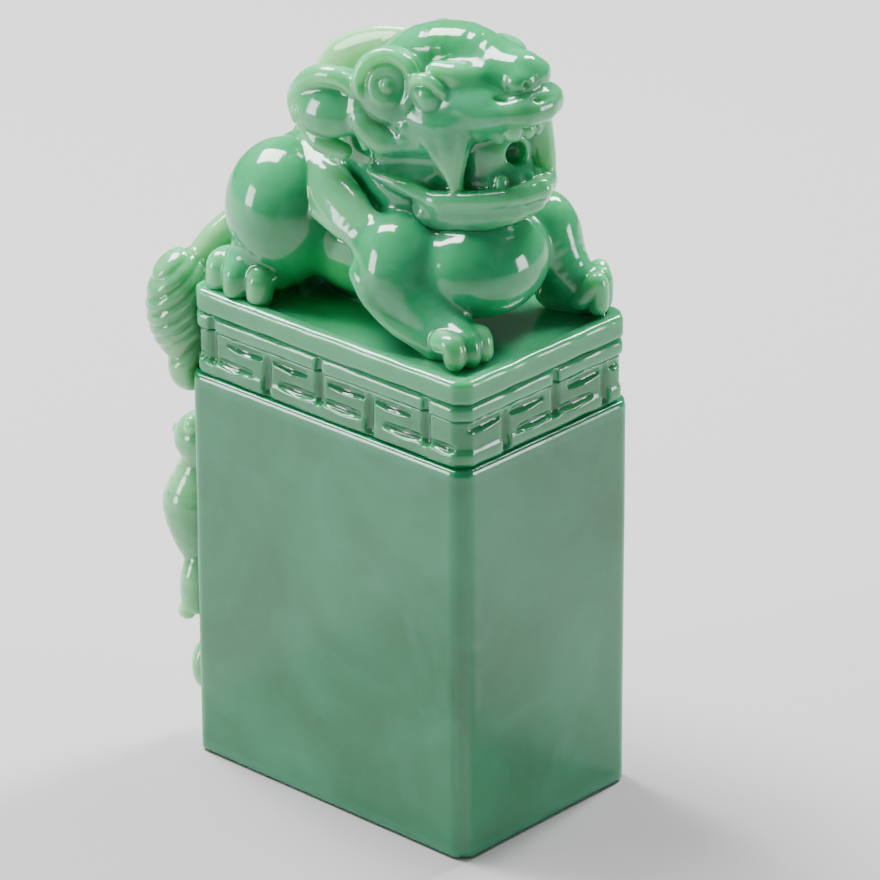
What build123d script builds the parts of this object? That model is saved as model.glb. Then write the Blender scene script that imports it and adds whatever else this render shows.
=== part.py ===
from build123d import *
import os
from copy import deepcopy
from math import cos, radians, sin, sqrt

# A hardstone seal carved from one block: a tall rectangular seal blank with a key-fret
# border round its top, a crouching guardian lion on the platform, and a cub climbing the
# rear face. Millimetres. The origin is the centre of the sealing face, +Z is up, and the
# lion faces -Y. Right and left are the lion's own: its right side is -X.

# Seal block
seal_length = 31.0        # long side of the sealing face, along Y
seal_width = 20.8         # short side of the sealing face, along X
block_height = 34.9       # plain block below the border
corner_cut = 0.95         # leg of the chamfer down each upright corner
foot_round = 1.2          # rounding round the sealing face
shoulder_round = 0.45     # rounding of the block's upper edge

# Border: two fret rows, a bead and a rim, one on top of another
border_inset = 0.15       # border stands back from the block's faces by this much
row_height = 1.85
row_round = 0.5
bead_height = 1.8
bead_round = 0.7
rim_height = 2.1
rim_round = 0.8
rim_wall = 1.3            # width of the rim, from its outside to the platform's edge
floor_drop = 0.3          # the platform lies this far below the rim's top
stem_width = 0.9
arm_height = 0.6
arm_reach = 1.9           # each arm runs this far to either side of its stem
fret_depth = 0.45
fret_pitch = 6.0
long_side_stems = 5
short_side_stems = 3

# Stations of the animal, measured in from the edges of the block
haunch_setback = 6.7      # haunches from the rear face
chest_setback = 6.7       # chest from the front face
haunch_side_inset = 5.4   # haunches from the side faces
leg_side_inset = 4.4      # right foreleg from the side face
reach_side_inset = 3.1    # left foreleg, which reaches out to the side
reach_front_inset = 7.0

# Body
haunch_radius = 5.0
haunch_half_height = 5.6
haunch_height = 7.7       # centre of a haunch above the platform
belly_radius = 5.3
belly_height = 5.0        # axis of the belly above the platform
rib_radius = 4.5
rib_height = 6.4
chest_radius = 4.7
chest_half_width = 5.6
chest_height = 6.2
neck_radius = 4.5
neck_half_height = 5.6
neck_height = 12.4
nape_radius = 3.9
rump_radius = 4.6
lock_half_width = 2.6
lock_thickness = 2.4
ridge_radius = 1.3

# Legs and paws
leg_radius = 3.5
leg_half_height = 4.7
leg_height = 5.2
reach_leg_radius = 3.0
hock_radius = 2.6
paw_radius = 1.9
toe_radius = 1.15
toe_spread = 1.8         # between neighbouring toes

# Head, in its own frame: origin at the middle of the skull, -Y out along the snout
head_turn = 7.0           # degrees, towards the lion's left
head_height = 18.2        # middle of the skull above the platform
head_setback = 5.0        # middle of the skull behind the chest
skull_radius = 4.85
snout_radius = 2.5
snout_length = 8.0
snout_rise = 3.9
lip_radius = 1.4
cheek_radius = 2.7
cheek_spread = 3.4        # cheeks to either side of the head's middle
eye_radius = 1.3
eye_spread = 3.4
brow_radius = 1.3
jaw_radius = 1.35
jaw_drop = 5.2            # tip of the jaw below the middle of the skull
jaw_sag = 1.8             # corners of the jaw below its tip
jaw_half_width = 3.9
jaw_length = 9.2
tongue_radius = 1.7
fang_radius = 1.15
fang_tip_radius = 0.45
fang_spread = 3.0
tooth_radius = 0.5
tooth_count = 4
tooth_pitch = 1.15
ear_radius = 3.1
ear_thickness = 3.2
curl_radius = 1.6
curl_wire = 0.8
crest_radius = 2.3
fin_radius = 2.4
fin_thickness = 1.5

# Tail and the cub on the rear face
tail_radius = 1.7
tail_sweep = 4.6          # how far the tail has swung sideways where it leaves the rump
tuft_radius = 3.1
tuft_half_height = 5.2
tuft_side_inset = 2.2     # tuft and cub from the right-hand side face
cub_head_radius = 2.8
cub_back_radius = 3.2
cub_leg_radius = 1.4
cub_toe_radius = 1.1
cub_tail_radius = 1.7
tail_sweep = 4.6          # how far the tail has swung sideways where it leaves the rump
relief_sink = 0.9         # how deep the cub's rounds sink into the rear face

# Heights and edges that follow from the sizes above
lower_row_base = block_height
upper_row_base = lower_row_base + row_height
bead_base = upper_row_base + row_height
rim_base = bead_base + bead_height
rim_top = rim_base + rim_height
floor_top = rim_top - floor_drop
half_length = seal_length / 2
half_width = seal_width / 2
haunch_y = half_length - haunch_setback
chest_y = chest_setback - half_length
haunch_x = half_width - haunch_side_inset
leg_x = leg_side_inset - half_width
reach_x = half_width - reach_side_inset
reach_y = reach_front_inset - half_length
RIGHT = -1
LEFT = 1


# ---- shapes ----

def chamfered_slab(length, width, base, height):
    """A flat slab with the block's chamfered upright corners."""
    slab = Pos(0, 0, base) * Box(width, length, height, align=(Align.CENTER, Align.CENTER, Align.MIN))
    return chamfer(slab.edges().filter_by(Axis.Z), corner_cut)


def round_rims(slab, top, bottom):
    """Round a slab's top and bottom outer edges by the two radii given."""
    if top:
        slab = fillet(slab.faces().sort_by(Axis.Z)[-1].edges(), top)
    if bottom:
        slab = fillet(slab.faces().sort_by(Axis.Z)[0].edges(), bottom)
    return slab


def revolved(outline):
    """Turn an outline in the XZ plane, closed along the Z axis, into a solid."""
    return revolve(make_face(Wire(outline)), Axis.Z)


def ball(centre, radius):
    return Pos(*centre) * Sphere(radius)


def egg(centre, axis, half_length, radius):
    """A stubby bar with round ends, its whole length twice the half length."""
    reach = Vector(*axis).normalized() * (half_length - radius)
    middle = Vector(*centre)
    return limb(middle - reach, middle + reach, radius, radius)


def limb(start, end, start_radius, end_radius):
    """A tapered bar with round ends, the shape left by a ball that shrinks as it moves."""
    start = Vector(*start)
    end = Vector(*end)
    length = (end - start).length
    lean = (start_radius - end_radius) / length
    side = sqrt(1 - lean * lean)
    low = (start_radius * side, 0, start_radius * lean)
    high = (end_radius * side, 0, length + end_radius * lean)
    profile = [
        ThreePointArc((0, 0, -start_radius), arc_middle(0, start_radius, lean, -1), low),
        Line(low, high),
        ThreePointArc(high, arc_middle(length, end_radius, lean, 1), (0, 0, length + end_radius)),
        Line((0, 0, length + end_radius), (0, 0, -start_radius)),
    ]
    return Plane(origin=start, z_dir=end - start) * revolved(profile)


def arc_middle(centre, radius, lean, pole):
    """The point half way between a limb's end and the circle where its cone begins."""
    x = sqrt(1 - lean * lean)
    z = lean + pole
    size = sqrt(x * x + z * z)
    return (radius * x / size, 0, centre + radius * z / size)


def chain(points, radii):
    """Limbs joined end to end."""
    links = [limb(a, b, ra, rb) for a, b, ra, rb in zip(points, points[1:], radii, radii[1:])]
    return fuse(links)


def lozenge(centre, normal, along, length, half_width, thickness):
    """A flat bar with rounded ends and rims, lying across its normal."""
    plane = Plane(origin=centre, x_dir=along, z_dir=normal)
    bar = extrude(plane * SlotCenterToCenter(length, 2 * half_width), thickness / 2, both=True)
    return fillet(bar.edges(), 0.4 * thickness)


def fuse(solids):
    whole = solids[0]
    for solid in solids[1:]:
        whole = whole + solid
    return whole


def over_floor(x, y, z):
    return (x, y, floor_top + z)


# ---- block and border ----

def seal_block():
    block = chamfered_slab(seal_length, seal_width, 0, block_height)
    return round_rims(block, shoulder_round, foot_round)


def border_slab(base, height, rounding):
    inset = 2 * border_inset
    slab = chamfered_slab(seal_length - inset, seal_width - inset, base, height)
    return round_rims(slab, rounding, rounding)


def fret_row(base, is_upper):
    """One row of the fret. Stems cross both rows, and each has its arms in one of them."""
    row = border_slab(base, row_height, row_round)
    for turn, side, count in (
        (0, half_width, long_side_stems),
        (90, half_length, short_side_stems),
        (180, half_width, long_side_stems),
        (270, half_length, short_side_stems),
    ):
        for number in range(count):
            along = (number - (count - 1) / 2) * fret_pitch
            face = Rot(0, 0, turn) * Pos(side - border_inset, along, base + row_height / 2)
            row = row - face * Box(2 * fret_depth, stem_width, row_height)
            arms_are_upper = (number % 2 == 1) == (count == long_side_stems)
            if arms_are_upper == is_upper:
                row = row - face * Box(2 * fret_depth, 2 * arm_reach, arm_height)
    return row


def upper_bead():
    return border_slab(bead_base, bead_height, bead_round)


def rim():
    """The top moulding, a closed frame round the platform."""
    frame = border_slab(rim_base, rim_height, rim_round)
    return frame - platform_blank(rim_height)


def platform_blank(height):
    """The space inside the rim."""
    width = seal_width - 2 * (border_inset + rim_wall)
    length = seal_length - 2 * (border_inset + rim_wall)
    return Pos(0, 0, rim_base) * Box(width, length, height, align=(Align.CENTER, Align.CENTER, Align.MIN))


def platform():
    return platform_blank(rim_height - floor_drop)


# ---- body ----

def haunch(side):
    centre = over_floor(side * haunch_x, haunch_y, haunch_height)
    return egg(centre, (side * 0.25, -0.2, 1), haunch_half_height, haunch_radius)


def belly():
    rear = over_floor(0, haunch_y, belly_height + 0.6)
    front = over_floor(0, chest_y + chest_radius + 1.2, rib_height)
    return limb(rear, front, belly_radius, rib_radius)


def rump():
    return ball(over_floor(0, haunch_y + 0.6, haunch_height + 0.3), rump_radius)


def chest():
    return egg(over_floor(0.5, chest_y, chest_height), (1, 0, 0), chest_half_width, chest_radius)


def neck():
    """The neck, from between the shoulders up into the skull."""
    return egg(over_floor(0, chest_y + 6.4, neck_height), (0, 0.2, 1), neck_half_height, neck_radius)


def nape():
    """The mass of mane behind the skull."""
    front = in_head((0, 5.2, -3.0))
    rear = over_floor(-0.8, haunch_y - 5.0, haunch_height + 6.3)
    return limb(front, rear, nape_radius, nape_radius)


def shoulder_lock(side):
    """A broad strap of mane that lies over the shoulder."""
    top = Vector(*over_floor(side * (haunch_x - 0.1), haunch_y - 4.5, haunch_height + 4.7))
    low = Vector(*over_floor(side * (haunch_x + 1.4), chest_y + 8.2, 9.2))
    along = low - top
    normal = Vector(side * 0.8, -0.1, 0.6)
    return lozenge((top + low) * 0.5, normal, along, along.length, lock_half_width, lock_thickness)


def spine_ridge():
    """A rope of mane down the middle of the back."""
    top = in_head((0, 10.6, -4.0))
    middle = over_floor(0, haunch_y + 1.7, haunch_height + rump_radius - 0.2)
    end = over_floor(0, haunch_y + 4.8, haunch_height + 1.4)
    return chain([top, middle, end], [ridge_radius, ridge_radius, ridge_radius])


# ---- legs ----

def toes(centres, height, radius):
    """A paw's toes, each a short upright bar with its foot on the platform."""
    bars = []
    for x, y in centres:
        foot = over_floor(x, y, 0.75 * radius)
        tip = over_floor(x, y, 0.75 * radius + height)
        bars.append(limb(foot, tip, radius, 0.9 * radius))
    return bars


def hind_leg(side):
    thigh = over_floor(side * (haunch_x + 0.6), haunch_y + 0.8, 3.6)
    heel = over_floor(side * (haunch_x + 1.6), haunch_y + 2.4, 1.9)
    return limb(thigh, heel, hock_radius + 0.7, hock_radius - 0.5)


def hind_paw(side):
    """The paw points out to the side, its toes side by side along the rim."""
    heel = over_floor(side * (haunch_x + 1.0), haunch_y + 2.6, 1.6)
    sole = over_floor(side * (haunch_x + 2.8), haunch_y + 2.4, 1.4)
    toe_x = side * (haunch_x + 3.8)
    toe_y = haunch_y + 2.4
    centres = [(toe_x, toe_y + step * (toe_spread + 0.4)) for step in (-1, 0, 1)]
    bars = toes(centres, 1.2, toe_radius)
    return fuse([limb(heel, sole, paw_radius, paw_radius - 0.2)] + bars)


def right_foreleg():
    centre = over_floor(leg_x + 0.3, chest_y + 4.8, leg_height)
    return egg(centre, (-0.1, -0.3, 1), leg_half_height, leg_radius)


def right_fore_paw():
    heel = over_floor(leg_x - 0.3, chest_y + 1.8, 1.8)
    sole = over_floor(leg_x + 0.2, chest_y - 2.0, 1.5)
    centres = [(leg_x + 0.4 + step * toe_spread, chest_y - 3.3 - 0.4 * step) for step in (-1, 0, 1)]
    return fuse([limb(heel, sole, paw_radius, paw_radius - 0.2)] + toes(centres, 0.6, toe_radius))


def left_foreleg():
    shoulder = over_floor(reach_x - 0.9, reach_y + 0.8, 6.4)
    wrist = over_floor(reach_x + 0.6, reach_y - 2.0, 2.6)
    return limb(shoulder, wrist, reach_leg_radius, reach_leg_radius - 1.2)


def left_fore_paw():
    heel = over_floor(reach_x + 0.3, reach_y - 1.4, 1.8)
    sole = over_floor(reach_x + 1.1, reach_y - 3.8, 1.5)
    spread = toe_spread - 0.3
    centres = [(reach_x + 1.4 + step * spread, reach_y - 5.1) for step in (-1, 0, 1)]
    return fuse([limb(heel, sole, paw_radius, paw_radius - 0.4)] + toes(centres, 1.7, toe_radius - 0.15))


# ---- head ----

def in_head(point):
    """A point given in the head's own frame, placed on the seal."""
    x, y, z = point
    turn = radians(head_turn)
    return (
        x * cos(turn) - y * sin(turn),
        chest_y + head_setback + x * sin(turn) + y * cos(turn),
        floor_top + head_height + z,
    )


def head_direction(x, y, z):
    start = Vector(*in_head((0, 0, 0)))
    return Vector(*in_head((x, y, z))) - start


def skull():
    return egg(in_head((0, 0.4, 0.4)), head_direction(0, 1, 0.1), skull_radius + 0.4, skull_radius)


def snout():
    root = in_head((0, -1.4, snout_rise - 0.9))
    tip = in_head((0, -snout_length, snout_rise))
    return limb(root, tip, snout_radius + 0.2, snout_radius - 0.4)


def upper_lip():
    """The lip rolled under the nose, running back along both sides of the muzzle."""
    front = (0, -snout_length - 1.5, snout_rise - 1.7)
    right = (-2.5, -snout_length + 1.4, snout_rise - 2.6)
    left = (2.5, -snout_length + 1.4, snout_rise - 2.6)
    radii = [lip_radius, lip_radius + 0.1, lip_radius]
    return chain([in_head(point) for point in (right, front, left)], radii)


def cheek(side):
    return ball(in_head((side * cheek_spread, -2.4, -0.2)), cheek_radius)


def eye(side):
    return ball(in_head((side * eye_spread, -1.2, 2.5)), eye_radius)


def brow(side):
    inner = in_head((side * 2.4, -4.2, 4.6))
    outer = in_head((side * 3.6, -0.6, 4.4))
    return limb(inner, outer, brow_radius, brow_radius + 0.1)


def crest():
    """The smooth ridge from the brow over the skull."""
    points = [(0.4, -4.8, 4.9), (0.3, -1.8, 5.0), (0, 2.3, 3.5), (0, 6.2, 0.4)]
    radii = [crest_radius - 0.4, crest_radius, crest_radius + 0.2, crest_radius - 0.1]
    return chain([in_head(point) for point in points], radii)


def crest_fin():
    """A thin upright lock behind the crest."""
    start = Vector(*in_head((1.4, 6.4, 1.4)))
    end = Vector(*in_head((1.4, 10.8, -1.6)))
    centre = (start + end) * 0.5
    along = end - start
    return lozenge(centre, head_direction(1, 0, 0), along, along.length, fin_radius, fin_thickness)


def ear(side):
    centre = Vector(*in_head((side * 4.5, 8.4, -0.6)))
    normal = head_direction(side * 0.85, 0.1, 0.4)
    along = head_direction(0, 0.9, -0.35)
    return lozenge(centre, normal, along, 1.4, ear_radius, ear_thickness)


def mane_curl(side):
    """A spiral lock at the temple: a coil of hair round a bead."""
    centre = Vector(*in_head((side * 4.3, 1.8, 2.7)))
    plane = Plane(origin=centre, z_dir=head_direction(side * 0.9, -0.25, 0.35))
    coil = plane * Torus(curl_radius, curl_wire)
    bead = plane * Sphere(curl_radius - 0.2)
    return coil + bead


def side_mane(side):
    """The lock that hangs below the temple curl, behind the cheek."""
    top = in_head((side * 4.2, 4.2, 0.2))
    low = in_head((side * 4.2, 2.4, -2.6))
    return limb(top, low, 2.3, 2.0)


def lower_jaw():
    """A band bent round the mouth, with the floor of the mouth inside it."""
    corner_z = -jaw_drop - jaw_sag
    side_y = -jaw_length + 2.6
    points = [
        (-jaw_half_width, -0.6, corner_z),
        (-2.4, side_y, -jaw_drop - 0.3),
        (0, -jaw_length, -jaw_drop),
        (2.4, side_y, -jaw_drop - 0.3),
        (jaw_half_width, -0.6, corner_z),
    ]
    radii = [jaw_radius + 0.3, jaw_radius, jaw_radius, jaw_radius, jaw_radius + 0.3]
    floor = egg(in_head((0, -3.2, corner_z + 0.2)), head_direction(0, -1, 0.25), 5.0, 2.9)
    return chain([in_head(point) for point in points], radii) + floor


def tongue():
    root = in_head((0, -2.2, -jaw_drop + 1.4))
    tip = in_head((0, -jaw_length + 3.4, -jaw_drop + 1.7))
    return limb(root, tip, tongue_radius, tongue_radius - 0.5)


def fang(side):
    root = in_head((side * (fang_spread + 0.6), -3.2, -0.8))
    tip = in_head((side * (fang_spread + 0.4), -3.7, -jaw_drop - 0.1))
    return limb(root, tip, fang_radius, fang_tip_radius)


def teeth(y, z, drop):
    """A row of front teeth across the mouth."""
    pegs = []
    for number in range(tooth_count):
        x = (number - (tooth_count - 1) / 2) * tooth_pitch
        root = in_head((x, y, z))
        tip = in_head((x, y, z - drop))
        pegs.append(limb(root, tip, tooth_radius, tooth_radius - 0.15))
    return Compound(pegs)


def upper_teeth():
    return teeth(-snout_length - 0.6, snout_rise - 2.4, 1.5)


def lower_teeth():
    return teeth(-jaw_length + 0.7, -jaw_drop + 0.9, -1.3)


# ---- tail and cub ----

def tail():
    root = over_floor(0, haunch_y + 4.0, haunch_height - 0.6)
    bend = over_floor(-tail_sweep, half_length + 0.4, 3.6)
    end = (tuft_side_inset - half_width + 0.6, half_length + 2.2, floor_top + 0.2)
    return chain([root, bend, end], [tail_radius, tail_radius, tail_radius])


def tail_tuft():
    centre = (tuft_side_inset - half_width, half_length + tuft_radius - 0.1, floor_top - 2.8)
    lobe = ball((tuft_side_inset - half_width - 0.2, half_length + 1.2, floor_top - 8.3), 1.9)
    return egg(centre, (0.05, -0.1, 1), tuft_half_height, tuft_radius) + lobe


def on_rear(x, radius, z):
    """The centre of a round of the relief, x in from the right-hand edge, sunk in the face."""
    return (x - half_width, half_length + radius - relief_sink, z)


def cub_head():
    return ball(on_rear(3.6, cub_head_radius, 26.8), cub_head_radius)


def cub_back():
    shoulder = on_rear(6.6, cub_back_radius, 23.4)
    hip = on_rear(3.2, cub_back_radius, 18.9)
    return limb(shoulder, hip, cub_back_radius - 0.4, cub_back_radius)


def cub_foreleg():
    elbow = on_rear(8.4, cub_leg_radius + 0.4, 24.0)
    paw = on_rear(11.4, cub_leg_radius + 0.4, 28.4)
    return limb(elbow, paw, cub_leg_radius + 0.3, cub_leg_radius)


def cub_hind_paw():
    """Hock and toes, planted on the rear face below the hip."""
    hock = limb(on_rear(4.4, cub_leg_radius + 0.6, 16.0), on_rear(2.0, cub_leg_radius + 0.6, 13.4), 1.8, 1.5)
    rows = [ball(on_rear(1.4, 2.4, 13.3 + step * 1.7), cub_toe_radius) for step in (-1, 0, 1)]
    return fuse([hock] + rows)


def cub_tail():
    root = on_rear(6.0, cub_tail_radius, 14.6)
    bend = on_rear(5.0, cub_tail_radius, 9.0)
    tip = on_rear(3.3, cub_tail_radius, 5.0)
    return chain([root, bend, tip], [cub_tail_radius, cub_tail_radius, cub_tail_radius + 0.3])


# ---- assembly ----

def both_sides(name, make):
    return [(name + "_right", make(RIGHT)), (name + "_left", make(LEFT))]


def pieces():
    """Every piece in carving order: each one gives way to those before it."""
    ordered = [
        ("seal_block", seal_block()),
        ("fret_row_lower", fret_row(lower_row_base, False)),
        ("fret_row_upper", fret_row(upper_row_base, True)),
        ("upper_bead", upper_bead()),
        ("rim", rim()),
        ("platform", platform()),
        ("upper_teeth", upper_teeth()),
        ("lower_teeth", lower_teeth()),
    ]
    ordered += both_sides("fang", fang)
    ordered += both_sides("eye", eye)
    ordered += [("snout", snout()), ("upper_lip", upper_lip()), ("tongue", tongue())]
    ordered += [("lower_jaw", lower_jaw())]
    ordered += both_sides("brow", brow)
    ordered += both_sides("mane_curl", mane_curl)
    ordered += both_sides("ear", ear)
    ordered += [("crest", crest())]
    ordered += both_sides("cheek", cheek)
    ordered += both_sides("side_mane", side_mane)
    ordered += [("crest_fin", crest_fin())]
    ordered += [("skull", skull())]
    ordered += both_sides("shoulder_lock", shoulder_lock)
    ordered += [("right_fore_paw", right_fore_paw()), ("left_fore_paw", left_fore_paw())]
    ordered += [("right_foreleg", right_foreleg()), ("left_foreleg", left_foreleg())]
    ordered += both_sides("hind_paw", hind_paw)
    ordered += [("tail_tuft", tail_tuft()), ("tail", tail())]
    ordered += [("chest", chest())]
    ordered += both_sides("haunch", haunch)
    ordered += both_sides("hind_leg", hind_leg)
    ordered += [("spine_ridge", spine_ridge()), ("nape", nape()), ("neck", neck()), ("rump", rump()), ("belly", belly())]
    ordered += [("cub_head", cub_head()), ("cub_hind_paw", cub_hind_paw())]
    ordered += [("cub_foreleg", cub_foreleg()), ("cub_back", cub_back()), ("cub_tail", cub_tail())]
    return ordered


def overlaps(one, other):
    a = one.bounding_box()
    b = other.bounding_box()
    return all(
        low_a < high_b and low_b < high_a
        for low_a, high_a, low_b, high_b in zip(a.min, a.max, b.min, b.max)
    )


def carve(ordered):
    """Cut each piece back to the surfaces of the pieces before it.

    A cut can loosen the tolerances of both shapes, so each cut works on fresh copies.
    """
    done = []
    for number, (name, whole) in enumerate(ordered):
        shape = deepcopy(whole)
        for _, earlier in ordered[:number]:
            if overlaps(shape, earlier):
                shape = shape - deepcopy(earlier)
        done.append((name, whole_pieces(name, shape)))
    return done


def whole_pieces(name, shape):
    """Drop the slivers a cut leaves. Teeth stay as a row of separate pegs."""
    solids = shape.solids().sort_by(SortBy.VOLUME)
    if name.endswith("teeth"):
        return Compound(list(solids))
    return solids[-1]


os.makedirs("parts", exist_ok=True)
for name, shape in carve(pieces()):
    export_step(shape, f"parts/{name}.step")
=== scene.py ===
import math

import bpy
import numpy as np
from mathutils import Matrix, Vector


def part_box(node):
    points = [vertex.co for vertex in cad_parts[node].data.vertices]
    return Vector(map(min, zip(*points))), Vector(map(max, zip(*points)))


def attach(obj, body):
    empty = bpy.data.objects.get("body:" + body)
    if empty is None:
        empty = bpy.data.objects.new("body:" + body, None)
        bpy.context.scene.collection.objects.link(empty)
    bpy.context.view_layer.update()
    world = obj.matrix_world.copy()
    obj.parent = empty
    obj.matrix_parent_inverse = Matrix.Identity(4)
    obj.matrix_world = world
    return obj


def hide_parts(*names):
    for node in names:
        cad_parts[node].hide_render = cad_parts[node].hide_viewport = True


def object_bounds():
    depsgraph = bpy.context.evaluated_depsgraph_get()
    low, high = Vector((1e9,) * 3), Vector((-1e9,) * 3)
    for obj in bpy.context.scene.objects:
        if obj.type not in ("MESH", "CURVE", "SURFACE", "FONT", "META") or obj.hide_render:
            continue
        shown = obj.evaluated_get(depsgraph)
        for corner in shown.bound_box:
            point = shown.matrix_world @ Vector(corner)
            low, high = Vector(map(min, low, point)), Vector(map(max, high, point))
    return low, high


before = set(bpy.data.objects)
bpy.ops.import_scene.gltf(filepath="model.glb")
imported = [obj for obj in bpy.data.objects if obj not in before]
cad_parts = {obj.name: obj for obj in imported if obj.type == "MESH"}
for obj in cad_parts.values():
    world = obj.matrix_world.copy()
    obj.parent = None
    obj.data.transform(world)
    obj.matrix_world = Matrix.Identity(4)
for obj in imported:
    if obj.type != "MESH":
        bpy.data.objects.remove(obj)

# A polished jade seal. The block, its border, the lion and the relief are sculpted as distance
# fields on grids and turned into closed meshes. The sculpting is in millimetres, in the CAD
# frame, and every place is counted from a box that the CAD model gives.

cad_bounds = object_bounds()
MM = 0.001
VOXEL = 0.16        # sculpting grid of the lion, in mm
BORDER_VOXEL = 0.14  # sculpting grid of the carved border, in mm
SEAM = 0.006                                # half the gap between neighbouring pieces, in mm
FAR = 40.0                                  # distance given to space far from a shape, in mm
RIGHT, LEFT = -1, 1                         # the lion's own sides: it faces -Y, its right is -X


# ---- anchors from the CAD model ----

def box_mm(node):
    low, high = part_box(node)
    return np.array(low) / MM, np.array(high) / MM


def middle(node):
    low, high = box_mm(node)
    return (low + high) / 2


block_low, block_high = box_mm("seal_block")
BLOCK_TOP = block_high[2]
HALF_WIDTH = (block_high[0] - block_low[0]) / 2
HALF_LENGTH = (block_high[1] - block_low[1]) / 2
FLOOR = box_mm("platform")[1][2]            # top of the platform that the lion lies on
EYE_RIGHT = middle("eye_right")
EYE_LEFT = middle("eye_left")
HEAD_X = (EYE_LEFT - EYE_RIGHT) / np.linalg.norm(EYE_LEFT - EYE_RIGHT)
HEAD_Y = np.array([-HEAD_X[1], HEAD_X[0], 0.0])
HEAD_AXES = np.array([HEAD_X, HEAD_Y, [0.0, 0.0, 1.0]])
EYE_FORWARD = 1.2                           # eyes ahead of the middle of the skull
EYE_RISE = 2.5                              # and above it
HEAD = (EYE_LEFT + EYE_RIGHT) / 2 + EYE_FORWARD * HEAD_Y - EYE_RISE * HEAD_AXES[2]


def body(x, y, z):
    """A point of the body: x and y from the block's centre line, z above the platform."""
    return np.array([x, y, FLOOR + z])


def head(x, y, z):
    """A point of the head: x to the lion's left, y backwards, z up, from the skull's middle."""
    return HEAD + x * HEAD_AXES[0] + y * HEAD_AXES[1] + z * HEAD_AXES[2]


def rear(x, out, z):
    """A point of the relief: x across, out from the rear face, z above the sealing face."""
    return np.array([x, HALF_LENGTH + out, z])


def mirrored(point, side):
    """A point or direction given for the right side, or its twin on the left."""
    return (-side * point[0], point[1], point[2])


def body_path(points, side=RIGHT):
    """Points of the body, which are given for the lion's right side."""
    return [body(*mirrored(point, side)) for point in points]


def head_path(points, side=LEFT):
    """Points of the head, which are given for the lion's left side."""
    return [head(side * x, y, z) for x, y, z in points]


def rear_path(points):
    return [rear(*point) for point in points]


# ---- distance fields ----
# A shape is a function of three coordinate arrays that gives a signed distance in mm.

def facing(normal, along=(0, 1, 0)):
    """Axes with the third along the normal and the first as near as can be to another."""
    third = np.array(normal, float) / np.linalg.norm(normal)
    first = np.array(along, float)
    first = first - third * (first @ third)
    first = first / np.linalg.norm(first)
    return np.array([first, np.cross(third, first), third])


def in_axes(place, centre, axes):
    """A place as seen from a centre, along three axes."""
    x, y, z = (place[i] - np.float32(centre[i]) for i in range(3))
    return [axes[i][0] * x + axes[i][1] * y + axes[i][2] * z for i in range(3)]


def ellipsoid(centre, radii, axes=np.eye(3)):
    axes = np.asarray(axes, np.float32)

    def distance(*place):
        x, y, z = in_axes(place, centre, axes)
        near = np.sqrt((x / radii[0]) ** 2 + (y / radii[1]) ** 2 + (z / radii[2]) ** 2)
        slope = np.sqrt((x / radii[0] ** 2) ** 2 + (y / radii[1] ** 2) ** 2
                        + (z / radii[2] ** 2) ** 2)
        return near * (near - 1) / np.maximum(slope, 1e-6)

    return distance


def bar(start, end, start_radius, end_radius):
    """A straight round bar with round ends."""
    start = np.array(start, float)
    run = np.array(end, float) - start
    length_squared = float(run @ run)

    def distance(*place):
        x, y, z = (place[i] - np.float32(start[i]) for i in range(3))
        part = np.clip((x * run[0] + y * run[1] + z * run[2]) / length_squared, 0, 1)
        part = part.astype(np.float32)
        off = np.sqrt((x - part * run[0]) ** 2 + (y - part * run[1]) ** 2 + (z - part * run[2]) ** 2)
        return off - (start_radius + part * (end_radius - start_radius))

    return distance


def curve_points(points, radii, steps):
    """Points and radii along a smooth curve through the given points."""
    points = np.array(points, float)
    places = []
    sizes = []
    last = len(points) - 1
    for i in range(last):
        before, after = points[max(i - 1, 0)], points[min(i + 2, last)]
        a, b = points[i], points[i + 1]
        for t in np.linspace(0, 1, steps, endpoint=False):
            cubic = -before + 3 * a - 3 * b + after
            square = 2 * before - 5 * a + 4 * b - after
            places.append(0.5 * (2 * a + (b - before) * t + square * t ** 2 + cubic * t ** 3))
            sizes.append(radii[i] + (radii[i + 1] - radii[i]) * t)
    places.append(points[-1])
    sizes.append(radii[-1])
    return places, sizes


def tube(points, radii, steps=4):
    """A round bar along a smooth curve, its radius changing on the way."""
    places, sizes = curve_points(points, radii, steps)
    bars = [bar(a, b, r, s) for a, b, r, s in zip(places, places[1:], sizes, sizes[1:])]

    def distance(*place):
        result = bars[0](*place)
        for link in bars[1:]:
            result = np.minimum(result, link(*place))
        return result

    return distance


def strap(points, radii, flatness, normal):
    """A tube pressed flat along a normal: its thickness is flatness times its width."""
    axes = facing(normal)
    stretch = np.array([1, 1, 1 / flatness])
    stretched = tube([stretch * (axes @ np.array(p)) for p in points], radii, 5)

    def distance(*place):
        x, y, z = in_axes(place, (0, 0, 0), axes)
        return stretched(x, y, z / flatness) * (0.5 + 0.5 * flatness)

    return distance


def blend(a, b, softness):
    """The nearer of two distances, with a fillet where they meet."""
    near = np.maximum(softness - np.abs(a - b), 0) / softness
    return np.minimum(a, b) - near * near * np.float32(softness * 0.25)


def carve_off(a, b, softness):
    """Distance a with shape b cut away, its edge rounded."""
    return -blend(-a, b, softness)


def joined(shapes, softness):
    """Several shapes as one, with fillets."""
    def distance(*place):
        result = shapes[0](*place)
        for shape in shapes[1:]:
            result = blend(result, shape(*place), softness)
        return result

    return distance


def ripple(shape, direction, pitch, depth, where):
    """A shape with hair grooves across a direction, fading out away from a place."""
    direction = np.array(direction, float) / np.linalg.norm(direction)
    centre, reach = where

    def distance(*place):
        along = sum(place[i] * np.float32(direction[i]) for i in range(3))
        off = sum((place[i] - np.float32(centre[i])) ** 2 for i in range(3))
        fade = np.clip(1.3 - off / reach ** 2, 0, 1)
        wave = np.abs(np.sin(along * (math.pi / pitch))) ** 0.7
        return shape(*place) + depth * fade * (1 - wave)

    return distance


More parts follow.
